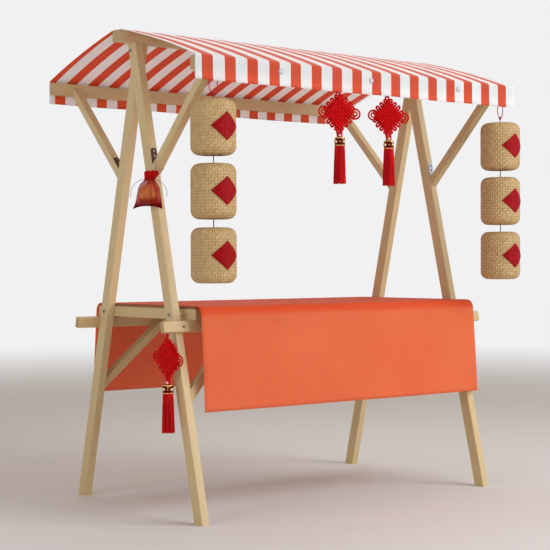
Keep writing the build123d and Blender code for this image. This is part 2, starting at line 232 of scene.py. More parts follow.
def dress(name, material):
    """Give every face of a CAD node one material."""
    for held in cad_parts[name].material_slots:
        held.material = material


grain_runs = {name: (1, 0, 0) for name in (
    "ridge_beam", "eave_beam_front", "eave_beam_rear", "long_rail_front", "long_rail_rear")}
grain_runs.update({name: (0, 1, 0) for name in ("end_rail_left", "end_rail_right", "deck_bearer")})
for end, inward in (("left", 1), ("right", -1)):
    for side, lean in (("front", 1), ("rear", -1)):
        grain_runs[f"leg_{end}_{side}"] = (0, lean * sin(splay), cos(splay))
        grain_runs[f"strut_{end}_{side}"] = (0, -lean * strut_rise[0], strut_rise[1])
        grain_runs[f"knee_brace_{end}_{side}"] = (inward, lean * sin(splay), cos(splay))
for number, (name, run) in enumerate(sorted(grain_runs.items())):
    dress(name, pine("planed_pine_" + name, run, number))

# Fixings: zinc plated steel, with a bright grey skin that has gone a little cloudy.
# Low round bolts with a six sided socket hold the leg pairs and the rails; black pan
# head screws hold everything lighter.
bolt_head = 0.0072
bolt_head_height = 0.0036
socket_radius = 0.0034
socket_depth = 0.0026
screw_radius = 0.0042
screw_height = 0.0018
leg_thickness = 0.032
span_half = 0.734
rail_depth = 0.027
ridge_bolt_height = 1.706


def plated(name, tone, rough):
    """Plated or polished metal: a cloudy skin over fine scratches."""
    made, tree, place, normal = fresh_material(name)
    cloud = node(tree, "TexNoise", {"Vector": place, "Scale": 220.0, "Detail": 4.0})
    scratch = node(tree, "Mapping", {"Vector": place, "Scale": (300, 2600, 900)})
    scratch = node(tree, "TexNoise", {"Vector": scratch, "Scale": 1.0, "Detail": 2.0})
    skin = node(tree, "ValToRGB", {"Fac": cloud},
                stops=[(0.3, [c * 0.8 for c in linear(tone)[:3]] + [1]), (0.7, linear(tone))])
    gloss = node(tree, "MapRange", {"Value": scratch, "To Min": rough - 0.08, "To Max": rough + 0.14})
    return feed(made, skin, gloss, scratch, 0.2, 0.0001, Metallic=1.0)


zinc = plated("zinc_plated_steel", "B6BBC4", 0.6)
dull_zinc = plated("dulled_zinc_bolt_steel", "A3A09C", 0.5)
# Black steel for the pan head screws; the same dark material fills the bolts' sockets as painted shade in
# the recess.
black_steel_and_socket_shade = plated("black_steel_and_painted_socket_shade", "4A4744", 0.46)


def finished(name, shape, materials, smooth=True):
    """Make a piece of the stall from its mesh and let it ride on the stall."""
    mesh = bpy.data.meshes.new(name)
    bmesh.ops.translate(shape, verts=shape.verts, vec=middle)
    shape.to_mesh(mesh)
    shape.free()
    for material in materials:
        mesh.materials.append(material)
    if smooth:
        mesh.polygons.foreach_set("use_smooth", [True] * len(mesh.polygons))
    piece = bpy.data.objects.new(name, mesh)
    bpy.context.scene.collection.objects.link(piece)
    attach(piece, "root")
    return piece


def facing(place, outward):
    """The matrix that stands a small turned part on a face, with its Z axis outward."""
    return Matrix.Translation(place) @ Vector(outward).to_track_quat("Z", "Y").to_matrix().to_4x4()


def add_disc(shape, radius, height, seat, segments=20, top=None, base=0.0):
    """A low round part from base to base + height over its seat; top is its upper radius."""
    bmesh.ops.create_cone(
        shape, cap_ends=True, segments=segments, radius1=radius,
        radius2=radius if top is None else top, depth=height,
        matrix=seat @ Matrix.Translation((0, 0, base + height / 2)))


def turn_round(shape, edges, steps):
    """Turn edges once about the Z axis into a closed round wall."""
    bmesh.ops.spin(shape, geom=edges, cent=(0, 0, 0), axis=(0, 0, 1), angle=2 * pi, steps=steps,
                   use_merge=True)
    bmesh.ops.remove_doubles(shape, verts=shape.verts, dist=1e-6)


def take_in(shape, mesh, slot=None):
    """Move a mesh into a shape, with all its faces in one material slot if that is given."""
    before = len(shape.faces)
    shape.from_mesh(mesh)
    bpy.data.meshes.remove(mesh)
    shape.faces.ensure_lookup_table()
    if slot is not None:
        for face in shape.faces[before:]:
            face.material_index = slot


def add_bolt(shape, place, outward):
    """A low round head with a rounded rim and a six sided socket, turned from its profile."""
    turned = bmesh.new()
    floor_height = bolt_head_height - socket_depth
    profile = [(bolt_head, 0.0), (bolt_head, bolt_head_height * 0.45),
               (bolt_head * 0.94, bolt_head_height * 0.8), (bolt_head * 0.8, bolt_head_height),
               (socket_radius, bolt_head_height), (socket_radius, floor_height)]
    line = [turned.verts.new((radius, 0, height)) for radius, height in profile]
    turn_round(turned, [turned.edges.new(pair) for pair in zip(line, line[1:])], 24)
    for height in (0.0, floor_height):
        rim = [e for e in turned.edges if e.is_boundary and abs(e.verts[0].co.z - height) < 1e-6]
        bmesh.ops.contextual_create(turned, geom=rim)
    in_socket = socket_radius * 1.01
    for vert in turned.verts:
        if vert.co.xy.length < in_socket:
            sector = (atan2(vert.co.y, vert.co.x) + pi) % (pi / 3) - pi / 6
            vert.co.xy = vert.co.xy * cos(pi / 6) / cos(sector)
    # Faces inside the socket take the second slot: painted dark, as painted shade in the recess.
    for face in turned.faces:
        spot = face.calc_center_median()
        face.material_index = 1 if spot.xy.length < in_socket and spot.z > 1e-6 else 0
    bmesh.ops.recalc_face_normals(turned, faces=turned.faces)
    bmesh.ops.transform(turned, matrix=facing(place, outward), verts=turned.verts)
    head = bpy.data.meshes.new("head")
    turned.to_mesh(head)
    turned.free()
    take_in(shape, head)


def add_screw(shape, place, outward):
    """A pan head with a cross recess, drawn as two thin bars over the head."""
    seat = facing(place, outward)
    half = screw_height * 0.5
    long, short = screw_radius * 1.1, screw_radius * 0.24
    add_disc(shape, screw_radius, half, seat)
    add_disc(shape, screw_radius, half, seat, 20, screw_radius * 0.62, half)
    for across in ((long, short), (short, long)):
        bar = Matrix.Translation((0, 0, screw_height)) @ Matrix.Diagonal((*across, 0.0003, 1))
        bmesh.ops.create_cube(shape, size=1, matrix=seat @ bar)


def leg_centre(height):
    """Distance of a leg's centre line from the stall's middle plane."""
    return foot_half * (1 - height / leg_meet)


bolts = bmesh.new()
end_rail_low, end_rail_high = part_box("end_rail_left")
rail_height = (end_rail_low.z + end_rail_high.z) / 2
for turn in (1, -1):
    outer = -turn * span_half
    inner = -turn * (span_half - 2 * leg_thickness - rail_depth)
    rear_face = -turn * (span_half - leg_thickness)
    for lean, face in ((-1, outer), (1, rear_face)):
        across = turn * lean * leg_centre(rail_height)
        add_bolt(bolts, (face, across, rail_height), (-turn, 0, 0))
        add_bolt(bolts, (inner, across, rail_height), (turn, 0, 0))
    add_bolt(bolts, (outer, 0.0, ridge_bolt_height), (-turn, 0, 0))
    add_bolt(bolts, (outer + turn * 2 * leg_thickness, 0.0, ridge_bolt_height), (turn, 0, 0))
finished("bolts", bolts, [dull_zinc, black_steel_and_socket_shade], smooth=False)

# Corner brackets: strips of plated steel, bent to the angle between leg and strut, with
# two screws in each arm. All are zinc plates; those of the left end are painted dark, as
# painted shade and a painted dark reflection, those of the right end bright zinc. A sleeve
# with a yellow skin spaces each outer leg from its end rail.
# The left end's zinc plates are painted dark: painted shade and a painted dark reflection.
dark_reflection_zinc = plated("zinc_plate_painted_dark_reflection", "5C463C", 0.6)
yellow_zinc = plated("yellow_zinc_sleeve", "EAD29C", 0.5)
for end, plate in (("left", dark_reflection_zinc), ("right", zinc)):
    for side in ("front", "rear"):
        dress(f"corner_bracket_{end}_{side}", plate)
    dress(f"bolt_sleeve_{end}", yellow_zinc)
bracket_corner = Vector((0.13965, 1.27475))
bracket_thickness = 0.0025
bracket_holes = (0.034, 0.052)
strut_run = Vector(strut_rise).normalized()
leg_run = Vector((-sin(splay), cos(splay)))
bracket_arms = ((leg_run, Vector((leg_run.y, -leg_run.x))), (strut_run, Vector((-strut_run.y, strut_run.x))))

# Screws in the brackets, through the long rails into the legs, and through the eave beams
# into the struts.
leg_cut = 0.048 / cos(splay)
rail_cut = 0.022 / cos(splay)
rail_screw = (0.008, 0.6905)
eave_screw = (0.494, 1.594)
screws = bmesh.new()
for turn in (1, -1):
    for lean, depth in ((-1, 0.0), (1, leg_thickness)):
        x = -turn * (span_half - depth - leg_thickness / 2)
        side = turn * lean
        for hole in bracket_holes:
            for run, out in bracket_arms:
                spot = bracket_corner + run * hole + out * bracket_thickness
                add_screw(screws, (x, side * spot.x, spot.y), (0, side * out.x, out.y))
for turn in (1, -1):
    for lean, depth in ((-1, 0.0), (1, leg_thickness)):
        x = -turn * (span_half - depth - leg_thickness / 2)
        side = turn * lean
        y = side * (leg_centre(rail_screw[1]) + leg_cut / 2 + rail_cut)
        add_screw(screws, (x + turn * rail_screw[0], y, rail_screw[1]), (0, side * cos(splay), sin(splay)))
        add_screw(screws, (x, side * eave_screw[0], eave_screw[1]), (0, side, 0))
for face in screws.faces:
    spot = face.calc_center_median()
    # Screws over the left end's painted dark plates are bright zinc, all others black.
    on_dark_reflection_zinc = spot.x < 0 and abs(spot.z - bracket_corner.y) < 0.1
    face.material_index = 0 if on_dark_reflection_zinc else 1
finished("screws", screws, [dull_zinc, black_steel_and_socket_shade], smooth=False)

# Table board: thin poplar plywood laid in one piece, cut with a saw, so that its brown
# edge shows the plies.
ply_thickness = 0.0015
board, tree, place, normal = fresh_material("poplar_plywood")
figure = node(tree, "Mapping", {"Vector": place, "Scale": (1.2, 38, 38)})
figure = node(tree, "TexNoise", {"Vector": figure, "Scale": 4.0, "Detail": 4.0})
face = node(tree, "ValToRGB", {"Fac": figure}, stops=[(0.3, linear("B88754")), (0.7, linear("C79B66"))])
plies = node(tree, "SeparateXYZ", {0: place}, out="Z")
plies = node(tree, "Math", {0: plies, 1: pi / ply_thickness}, operation="MULTIPLY")
plies = node(tree, "Math", {0: plies}, operation="SINE")
edge = node(tree, "ValToRGB", {"Fac": plies}, stops=[(0.2, linear("7A4E2C")), (0.8, linear("9A6A3E"))])
up = node(tree, "SeparateXYZ", {0: normal}, out="Z")
up = node(tree, "Math", {0: up}, operation="ABSOLUTE")
skin = node(tree, "Mix", {0: up, 6: edge, 7: face}, out=2, data_type="RGBA")
dull = node(tree, "MapRange", {"Value": figure, "To Min": 0.5, "To Max": 0.7})
dress("table_deck", feed(board, skin, dull, figure, 0.3, 0.0003))

# Canopy: coated polyester canvas, dyed white and printed with orange red stripes that
# run over the ridge. It is drawn tight over the beams, turned under at both hems, and
# held by press studs on the front eave beam.
canopy_low, canopy_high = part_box("canopy")
canopy_half = (canopy_high.x - canopy_low.x) / 2
stripe_width = 0.047
# Where the stripes of each panel start and how far apart they are: the front panel with its
# valance, the rear slope, and the rear valance that is sewn on.
front_stripes = (-0.7664, 0.09805)
rear_stripes = (-0.7168, 0.09715)
rear_valance_stripes = (-0.7700, 0.0968)
seam_height = 1.6310
rear_skew = 0.012
canvas_thickness = 0.0011
eave_round = 0.009
canopy_camber = 0.009
ridge_half = 0.028
eave_out = 0.4993
eave_up = 1.6343
canopy_crown = 1.7766
valance_hem = 1.5474
right_reach = 0.0030
hem_width = 0.012
hem_step = 0.0006
hem_bevel = 0.0008
stitch_pitch = 0.0045
# How far the valance sways in and out, and the height and length of the slow waves in the
# valance's hem and between ridge and eave.
valance_sway = 0.0028
valance_wave = (0.0008, 0.47)
slope_wave = (0.0016, 0.74)


def slope(share):
    """Outer line of one side of the canopy, from ridge edge to eave, bowed by its camber."""
    start = Vector((ridge_half, canopy_crown))
    end = Vector((eave_out, eave_up))
    out = Vector((start.y - end.y, end.x - start.x)).normalized()
    return start.lerp(end, share) + out * canopy_camber * 4 * share * (1 - share)


def round_corner(start, corner, end, steps):
    """Points of a smooth bend from start to end that leans into a corner."""
    shares = [step / steps for step in range(steps + 1)]
    return [start * (1 - s) ** 2 + corner * 2 * s * (1 - s) + end * s * s for s in shares]


def pull(shape, edges):
    """Pull faces out of a line of edges, and give the new edges and the new verts."""
    pulled = bmesh.ops.extrude_edge_only(shape, edges=edges)["geom"]
    fresh = [g for g in pulled if isinstance(g, bmesh.types.BMVert)]
    return [g for g in pulled if isinstance(g, bmesh.types.BMEdge)
            and all(v in fresh for v in g.verts)], fresh


def draw_sheet(shape, line, cuts):
    """A cloth from its line of points across, drawn along X through the given cuts."""
    spots = [shape.verts.new((cuts[0], p.x, p.y)) for p in line]
    front = [shape.edges.new(pair) for pair in zip(spots, spots[1:])]
    for before, after in zip(cuts, cuts[1:]):
        front, fresh = pull(shape, front)
        bmesh.ops.translate(shape, verts=fresh, vec=(after - before, 0, 0))


def thicken(piece, thickness):
    """Give a drawn cloth its thickness, inward from the drawn face."""
    wall = piece.modifiers.new("thickness", "SOLIDIFY")
    wall.thickness = thickness
    wall.offset = -1


section = [Vector((ridge_half * s, canopy_crown)) for s in (0, 0.5)]
section += [slope(s / 24) for s in range(24)]
bend_in = slope(1) - (slope(1) - slope(0.98)).normalized() * eave_round
bend_out = Vector((eave_out, eave_up - eave_round))
section = [p for p in section if p.x < bend_in.x] + round_corner(bend_in, slope(1), bend_out, 6)
hem_line = valance_hem + hem_width
section += [bend_out.lerp(Vector((eave_out, hem_line)), s / 6) for s in range(1, 7)]
section += [Vector((eave_out + hem_step, z)) for z in (hem_line - hem_bevel, valance_hem)]

canopy = bmesh.new()
rows = 92
hem_end = hem_width + hem_bevel
inside = 2 * (canopy_half - hem_end)
cuts = [0.0, hem_width] + [hem_end + inside * s / rows for s in range(rows + 1)]
cuts += [2 * canopy_half - hem_width, 2 * canopy_half]
across = [Vector((-p.x, p.y)) for p in reversed(section)] + section[1:]
draw_sheet(canopy, across, [cut - canopy_half for cut in cuts])
for vert in canopy.verts:
    hang = max(0.0, (eave_up - vert.co.z) / (eave_up - valance_hem))
    sway = noise.noise(Vector((vert.co.x * 2.6, vert.co.y * 3.0, 1.7)))
    if hang > 0 and abs(vert.co.y) > eave_out - 0.002:
        vert.co.y += (1 if vert.co.y > 0 else -1) * valance_sway * sway * hang
        vert.co.z += valance_wave[0] * sin(vert.co.x * 2 * pi / valance_wave[1]) * hang
    elif abs(vert.co.y) > ridge_half:
        share = (abs(vert.co.y) - ridge_half) / (eave_out - ridge_half)
        wave = slope_wave[0] * (1 + sin(vert.co.x * 2 * pi / slope_wave[1] + 0.6))
        vert.co.z -= wave * 2 * share * (1 - share)
    if abs(vert.co.x) > canopy_half - hem_width - 0.0001:
        vert.co.z += hem_step * (1 - hang)
    vert.co.x += right_reach * max(0.0, vert.co.x / canopy_half)
bmesh.ops.recalc_face_normals(canopy, faces=canopy.faces)


def woven(tree, split, pitch):
    """Relief of a plain weave: threads along the sheet and threads across it."""
    across = node(tree, "Math", {0: split["Y"], 1: split["Z"]}, operation="ADD")
    waves = []
    for run in (split["X"], across):
        run = node(tree, "Math", {0: run, 1: 2 * pi / pitch}, operation="MULTIPLY")
        waves.append(node(tree, "Math", {0: run}, operation="SINE"))
    return node(tree, "Math", {0: waves[0], 1: waves[1]}, operation="MULTIPLY")


canvas, tree, place, normal = fresh_material("striped_polyester_canvas")
split = node(tree, "VectorMath", {0: place, 1: middle}, operation="SUBTRACT")
split = node(tree, "SeparateXYZ", {0: split}).node.outputs
fray = node(tree, "TexNoise", {"Vector": place, "Scale": 900.0})
fray = node(tree, "MapRange", {"Value": fray, "To Min": -0.0004, "To Max": 0.0004})
rear = node(tree, "Math", {0: split["Y"], 1: 0.0}, operation="GREATER_THAN")
low = node(tree, "Math", {0: split["Z"], 1: seam_height}, operation="LESS_THAN")
chosen = []
for front_value, slope_value, valance_value in zip(front_stripes, rear_stripes, rear_valance_stripes):
    behind = node(tree, "Mix", {0: low, 2: slope_value, 3: valance_value})
    chosen.append(node(tree, "Mix", {0: rear, 2: front_value, 3: behind}))
askew = node(tree, "MapRange", {"Value": split["Y"], "From Max": eave_out, "To Min": rear_skew,
                                "To Max": 0.0})
askew = node(tree, "Math", {0: askew, 1: rear}, operation="MULTIPLY")
start = node(tree, "Math", {0: split["X"], 1: chosen[0]}, operation="SUBTRACT")
for shift in (fray, askew):
    start = node(tree, "Math", {0: start, 1: shift}, operation="ADD")
phase = node(tree, "Math", {0: start, 1: chosen[1]}, operation="FLOORED_MODULO")
stripe = node(tree, "Math", {0: phase, 1: stripe_width}, operation="LESS_THAN")
dirt = node(tree, "TexNoise", {"Vector": place, "Scale": 7.0, "Detail": 5.0})
white = node(tree, "ValToRGB", {"Fac": dirt}, stops=[(0.3, linear("ECE8EA")), (0.7, linear("F5F3F4"))])
red = node(tree, "ValToRGB", {"Fac": dirt}, stops=[(0.3, linear("C83E18")), (0.7, linear("D24820"))])
tone = node(tree, "Mix", {0: stripe, 6: white, 7: red}, out=2, data_type="RGBA")
# Stitches run in from every hem, and along the seams at the ridge and the rear eave.
stitch_inset = 0.009
stitch_half = 0.0006
weave_pitch = 0.0016
stitches = None
far_end = node(tree, "Math", {0: split["X"]}, operation="ABSOLUTE")
for held, spot, gate in ((split["Z"], valance_hem + stitch_inset, None),
                         (far_end, canopy_half - stitch_inset, None),
                         (split["Y"], 0.003, None), (split["Z"], seam_height, rear)):
    away = node(tree, "Math", {0: held, 1: spot}, operation="SUBTRACT")
    away = node(tree, "Math", {0: away}, operation="ABSOLUTE")
    line = node(tree, "Math", {0: away, 1: stitch_half}, operation="LESS_THAN")
    if gate:
        line = node(tree, "Math", {0: line, 1: gate}, operation="MULTIPLY")
    stitches = node(tree, "Math", {0: stitches, 1: line}, operation="MAXIMUM") if stitches else line
run = node(tree, "Math", {0: split["X"], 1: split["Z"]}, operation="ADD")
run = node(tree, "Math", {0: run, 1: stitch_pitch}, operation="FLOORED_MODULO")
run = node(tree, "Math", {0: run, 1: stitch_pitch * 0.7}, operation="LESS_THAN")
stitches = node(tree, "Math", {0: stitches, 1: run}, operation="MULTIPLY")
shaded = node(tree, "Math", {0: stitches, 1: 0.35}, operation="MULTIPLY")
tone = node(tree, "Mix", {0: shaded, 6: tone, 7: linear("B9B4B4")}, out=2, data_type="RGBA",
            blend_type="MULTIPLY")
crease = node(tree, "TexNoise", {"Vector": place, "Scale": 4.0, "Detail": 3.0})
height = node(tree, "Math", {0: crease, 1: 14.0}, operation="MULTIPLY")
dent = node(tree, "Math", {0: stitches, 1: -4.0}, operation="MULTIPLY")
for part in (woven(tree, split, weave_pitch), dent):
    height = node(tree, "Math", {0: height, 1: part}, operation="ADD")
dull = node(tree, "MapRange", {"Value": dirt, "To Min": 0.62, "To Max": 0.8})
# Thin cloth lets some of the light on its upper side through to the lower side.
feed(canvas, tone, dull, height, 0.3, 0.00025, Subsurface_Weight=0.9, Subsurface_Scale=0.006,
     Subsurface_Radius=(1.0, 0.8, 0.8), Sheen_Weight=0.04, Sheen_Roughness=0.5, Specular_IOR_Level=0.3)
canopy_piece = finished("striped_canopy", canopy, [canvas])
thicken(canopy_piece, canvas_thickness)
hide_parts("canopy")

# Press studs: clear nylon caps that hold the front valance to the eave beam.
stud_radius = 0.0105
stud_height = 1.600
stud_places = (-0.421, 0.014, 0.474)
nylon, tree, place, normal = fresh_material("clear_nylon")
cloud = node(tree, "TexNoise", {"Vector": place, "Scale": 260.0, "Detail": 3.0})
milk = node(tree, "ValToRGB", {"Fac": cloud}, stops=[(0.3, linear("BEBCC4")), (0.7, linear("D8D6DC"))])
feed(nylon, milk, node(tree, "MapRange", {"Value": cloud, "To Min": 0.16, "To Max": 0.3}))
studs = bmesh.new()
for x in stud_places:
    seat = facing((x, -eave_out, stud_height), (0, -1, 0))
    add_disc(studs, stud_radius, 0.0016, seat, 32)
    add_disc(studs, stud_radius * 0.86, 0.0026, seat, 32, stud_radius * 0.62, base=0.0016)
    add_disc(studs, stud_radius * 0.3, 0.0012, seat, 24, stud_radius * 0.2, base=0.0040)
stud_piece = finished("press_studs", studs, [nylon])

# Tablecloth: heavy orange red polyester, stiff enough to bend over the board's edges in
# one clean round and hang almost flat, with a slot cut for the right front leg. A deeper
# tone is painted where it lies on the board and bends over it, as painted shade.
cloth_low, cloth_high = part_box("tablecloth")
cloth_left = cloth_low.x - middle.x
cloth_right = cloth_high.x - middle.x + 0.006
cloth_top = cloth_high.z
cloth_thickness = 0.0009
cloth_bend = 0.0355
cloth_reach = 0.3535
cloth_flare = 0.030
cloth_hems = {-1: cloth_low.z, 1: 0.409}
cloth_weave = 0.0018
# Depth and length of the folds, and how far the hem swings back in.
cloth_fold = (0.0042, 0.62)
cloth_swing = 0.004
slot_far = 0.672
slot_side = [leg_centre(cloth_top) + way * (leg_cut / 2 + 0.002) for way in (-1, 1)]

cloth = bmesh.new()
half_lines = {}
for side, hem in cloth_hems.items():
    line = [Vector((side * y, cloth_top)) for y in (0.04, 0.10, 0.15, *slot_side, 0.30)]
    drop = Vector((side * cloth_flare, hem - cloth_top))
    bend_start = Vector((side * (cloth_reach - cloth_bend), cloth_top))
    corner = Vector((side * cloth_reach, cloth_top))
    bend_end = corner + drop.normalized() * cloth_bend
    line += round_corner(bend_start, corner, bend_end, 10)
    line += [bend_end.lerp(corner + drop, step / 22) for step in range(1, 23)]
    half_lines[side] = line
cloth_line = list(reversed(half_lines[-1])) + [Vector((0, cloth_top))] + half_lines[1]
cuts = [cloth_left + (slot_far - cloth_left) * step / 70 for step in range(71)] + [
    slot_far + (cloth_right - slot_far) * step / 3 for step in (1, 2, 3)]
draw_sheet(cloth, cloth_line, cuts)
slot_faces = [f for f in cloth.faces if f.calc_center_median().x > slot_far
              and -slot_side[1] < f.calc_center_median().y < -slot_side[0]
              and f.calc_center_median().z > cloth_top - 0.001]
bmesh.ops.delete(cloth, geom=slot_faces, context="FACES")
for vert in cloth.verts:
    side = 1 if vert.co.y > 0 else -1
    hang = max(0.0, (cloth_top - 0.03 - vert.co.z) / (cloth_top - cloth_hems[side]))
    roll = noise.noise(Vector((vert.co.x * 2.1, side * 3.3, vert.co.z * 1.2)))
    fold = sin(vert.co.x * 2 * pi / cloth_fold[1] + side) * 0.5 + roll
    vert.co.y += side * (cloth_fold[0] * fold * hang - cloth_swing * hang * hang)
bmesh.ops.recalc_face_normals(cloth, faces=cloth.faces)

dyed, tree, place, normal = fresh_material("dyed_polyester_cloth")
split = node(tree, "SeparateXYZ", {0: place}).node.outputs
dirt = node(tree, "TexNoise", {"Vector": place, "Scale": 3.0, "Detail": 5.0})
tone = node(tree, "ValToRGB", {"Fac": dirt}, stops=[(0.3, linear("E8673A")), (0.7, linear("F07043"))])
# Painted shade: the tone deepens from just under the bend up over the top of the board.
painted_shade_top_and_bend = node(tree, "MapRange", {"Value": split["Z"], "From Min": cloth_top - 0.038,
                               "From Max": cloth_top - 0.022, "To Max": 0.85})
tone = node(tree, "Mix", {0: painted_shade_top_and_bend, 6: tone, 7: linear("E8480E")}, out=2, data_type="RGBA")
slub = node(tree, "Mapping", {"Vector": place, "Scale": (30, 700, 700)})
slub = node(tree, "TexNoise", {"Vector": slub, "Scale": 1.0, "Detail": 2.0})
shade = node(tree, "ValToRGB", {"Fac": slub}, stops=[(0.25, linear("F2E6E2")), (0.7, linear("FFFFFF"))])
tone = node(tree, "Mix", {0: 0.7, 6: tone, 7: shade}, out=2, data_type="RGBA", blend_type="MULTIPLY")
height = node(tree, "Math", {0: slub, 1: 1.5}, operation="MULTIPLY")
height = node(tree, "Math", {0: height, 1: woven(tree, split, cloth_weave)}, operation="ADD")
dull = node(tree, "MapRange", {"Value": slub, "To Min": 0.66, "To Max": 0.84})
feed(dyed, tone, dull, height, 0.3, 0.00022, Subsurface_Weight=0.7, Subsurface_Scale=0.005,
     Subsurface_Radius=(1.0, 0.8, 0.8), Sheen_Weight=0.04, Sheen_Roughness=0.5, Specular_IOR_Level=0.25)
cloth_piece = finished("orange_tablecloth", cloth, [dyed])
thicken(cloth_piece, cloth_thickness)
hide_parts("tablecloth")

# Lanterns: short drums of split bamboo, woven one over one under on upright stakes, with
# a hoop of round cane at each opening and two crossed slats that the cord is tied to.
lantern_radius = 0.080
lantern_height = 0.193
lantern_shoulder = 0.030
lantern_pitch = 0.2215
lantern_top = 1.483
hang_line = -0.483
string_places = {"left": -0.707, "right": 0.735}
stake_count = 48
weaver_count = 22
strip_share = 0.95
strip_thickness = 0.0007
weave_depth = 0.0007
opening_radius = 0.043
hoop_radius = 0.0028


def bamboo(name, along_z):
    """Split bamboo: pale straw strips with fine fibres along them."""
    made, tree, place, normal = fresh_material(name)
    fibre = node(tree, "Mapping", {"Vector": place, "Scale": (900, 900, 18) if along_z else (30, 30, 1500)})
    fibre = node(tree, "TexNoise", {"Vector": fibre, "Scale": 1.0, "Detail": 3.0})
    patch = node(tree, "TexNoise", {"Vector": place, "Scale": 60.0, "Detail": 2.0})
    tone = node(tree, "ValToRGB", {"Fac": patch}, stops=[(0.3, linear("C2A06A")), (0.7, linear("D2B581"))])
    streak = node(tree, "ValToRGB", {"Fac": fibre},
                  stops=[(0.3, linear("D6C6AA")), (0.65, linear("FFFFFF"))])
    tone = node(tree, "Mix", {0: 0.7, 6: tone, 7: streak}, out=2, data_type="RGBA", blend_type="MULTIPLY")
    gloss = node(tree, "MapRange", {"Value": fibre, "To Min": 0.42, "To Max": 0.6})
    return feed(made, tone, gloss, fibre)


def satin(name, dark, light, rough, drawn=(90, 90, 90)):
    """Satin, cord, lacquer or pearl: a soft gloss over fine threads, with drawn out shades."""
    made, tree, place, normal = fresh_material(name)
    cloud = node(tree, "Mapping", {"Vector": place, "Scale": drawn})
    cloud = node(tree, "TexNoise", {"Vector": cloud, "Scale": 1.0, "Detail": 3.0})
    thread = node(tree, "TexNoise", {"Vector": place, "Scale": 1400.0, "Detail": 2.0})
    tone = node(tree, "ValToRGB", {"Fac": cloud}, stops=[(0.3, linear(dark)), (0.7, linear(light))])
    gloss = node(tree, "MapRange", {"Value": thread, "To Min": rough - 0.06, "To Max": rough + 0.1})
    return feed(made, tone, gloss, thread, 0.25, 0.00015, Specular_IOR_Level=0.09)


def add_cords(shape, lines, radius, closed=False, sides=2, slot=0):
    """Round cords along lists of points, turned to mesh. A fourth number swells the cord."""
    curve = bpy.data.curves.new("cord", "CURVE")
    curve.dimensions = "3D"
    curve.bevel_depth = radius
    curve.bevel_resolution = sides
    curve.use_fill_caps = True
    for line in lines:
        spline = curve.splines.new("POLY")
        spline.points.add(len(line) - 1)
        for point, spot in zip(spline.points, line):
            point.co = (*spot[:3], 1)
            point.radius = spot[3] if len(spot) > 3 else 1.0
        spline.use_cyclic_u = closed
    holder = bpy.data.objects.new("cord", curve)
    bpy.context.scene.collection.objects.link(holder)
    ready = holder.evaluated_get(bpy.context.evaluated_depsgraph_get())
    take_in(shape, bpy.data.meshes.new_from_object(ready), slot)
    bpy.data.objects.remove(holder)
    bpy.data.curves.remove(curve)


def circle_points(centre, radius, count, up=(0, 1, 0)):
    """Points on a circle in the plane of the X axis and another direction."""
    angles = [2 * pi * i / count for i in range(count)]
    return [Vector(centre) + Vector((radius * cos(a), 0, 0)) + Vector(up) * radius * sin(a) for a in angles]


# Line of the drum's wall, as distance from its axis, height under its top, and outward
# direction, from the upper opening down to the lower one.
flat_run = lantern_radius - lantern_shoulder - opening_radius
round_run = lantern_shoulder * pi / 2
side_run = lantern_height - 2 * lantern_shoulder
wall_length = 2 * (flat_run + round_run) + side_run


def wall_point(run):
    """Radius, height and outward direction at a run along the drum's wall."""
    if run > wall_length / 2:
        radius, height, out = wall_point(wall_length - run)
        return radius, -lantern_height - height, (out[0], -out[1])
    if run < flat_run:
        return opening_radius + run, 0.0, (0.0, 1.0)
    if run < flat_run + round_run:
        turn = (run - flat_run) / lantern_shoulder
        radius = lantern_radius - lantern_shoulder * (1 - sin(turn))
        return radius, -lantern_shoulder * (1 - cos(turn)), (sin(turn), cos(turn))
    return lantern_radius, -lantern_shoulder - (run - flat_run - round_run), (1.0, 0.0)


def strip_edges(shape, runs):
    """A chain of edges down the drum's wall through the given runs."""
    spots = [shape.verts.new((wall_point(run)[0], 0, wall_point(run)[1])) for run in runs]
    return [shape.edges.new(pair) for pair in zip(spots, spots[1:])]


weaver_pitch = wall_length / weaver_count
weavers = bmesh.new()
chains = []
for row in range(weaver_count):
    mid = (row + 0.5) * weaver_pitch
    half = weaver_pitch * strip_share / 2
    chains += strip_edges(weavers, (mid - half, mid + half))
turn_round(weavers, chains, 2 * stake_count)

stakes = bmesh.new()
stake_width = 2 * pi / stake_count * strip_share * 0.8
count = 2 * weaver_count
chains = strip_edges(stakes, [wall_length * i / count for i in range(count + 1)])
bmesh.ops.rotate(stakes, verts=stakes.verts, matrix=Matrix.Rotation(-stake_width / 2, 3, "Z"))
bmesh.ops.spin(stakes, geom=chains, cent=(0, 0, 0), axis=(0, 0, 1), angle=stake_width, steps=1)
one_stake = list(stakes.verts) + list(stakes.edges) + list(stakes.faces)
for number in range(1, stake_count):
    copied = bmesh.ops.duplicate(stakes, geom=one_stake)
    fresh = [g for g in copied["geom"] if isinstance(g, bmesh.types.BMVert)]
    bmesh.ops.rotate(stakes, verts=fresh, matrix=Matrix.Rotation(2 * pi * number / stake_count, 3, "Z"))

wall_table = [(i * wall_length / 600, *wall_point(i * wall_length / 600)) for i in range(601)]
for shape, sign in ((weavers, 1), (stakes, -1)):
    for vert in shape.verts:
        radius = sqrt(vert.co.x ** 2 + vert.co.y ** 2)
        nearest = min(wall_table, key=lambda w: (w[1] - radius) ** 2 + (w[2] - vert.co.z) ** 2)
        around = atan2(vert.co.y, vert.co.x) * stake_count / (2 * pi)
        row = nearest[0] / weaver_pitch - 0.5
        if sign > 0:
            lift = cos(pi * around) * (-1) ** round(row)
        else:
            lift = -cos(pi * row) * (-1) ** round(around)
        push = weave_depth * (1 + lift * 0.9)
        out = nearest[3]
        vert.co.x += vert.co.x / radius * out[0] * (push - 2 * weave_depth)
        vert.co.y += vert.co.y / radius * out[0] * (push - 2 * weave_depth)
        vert.co.z += out[1] * (push - 2 * weave_depth)

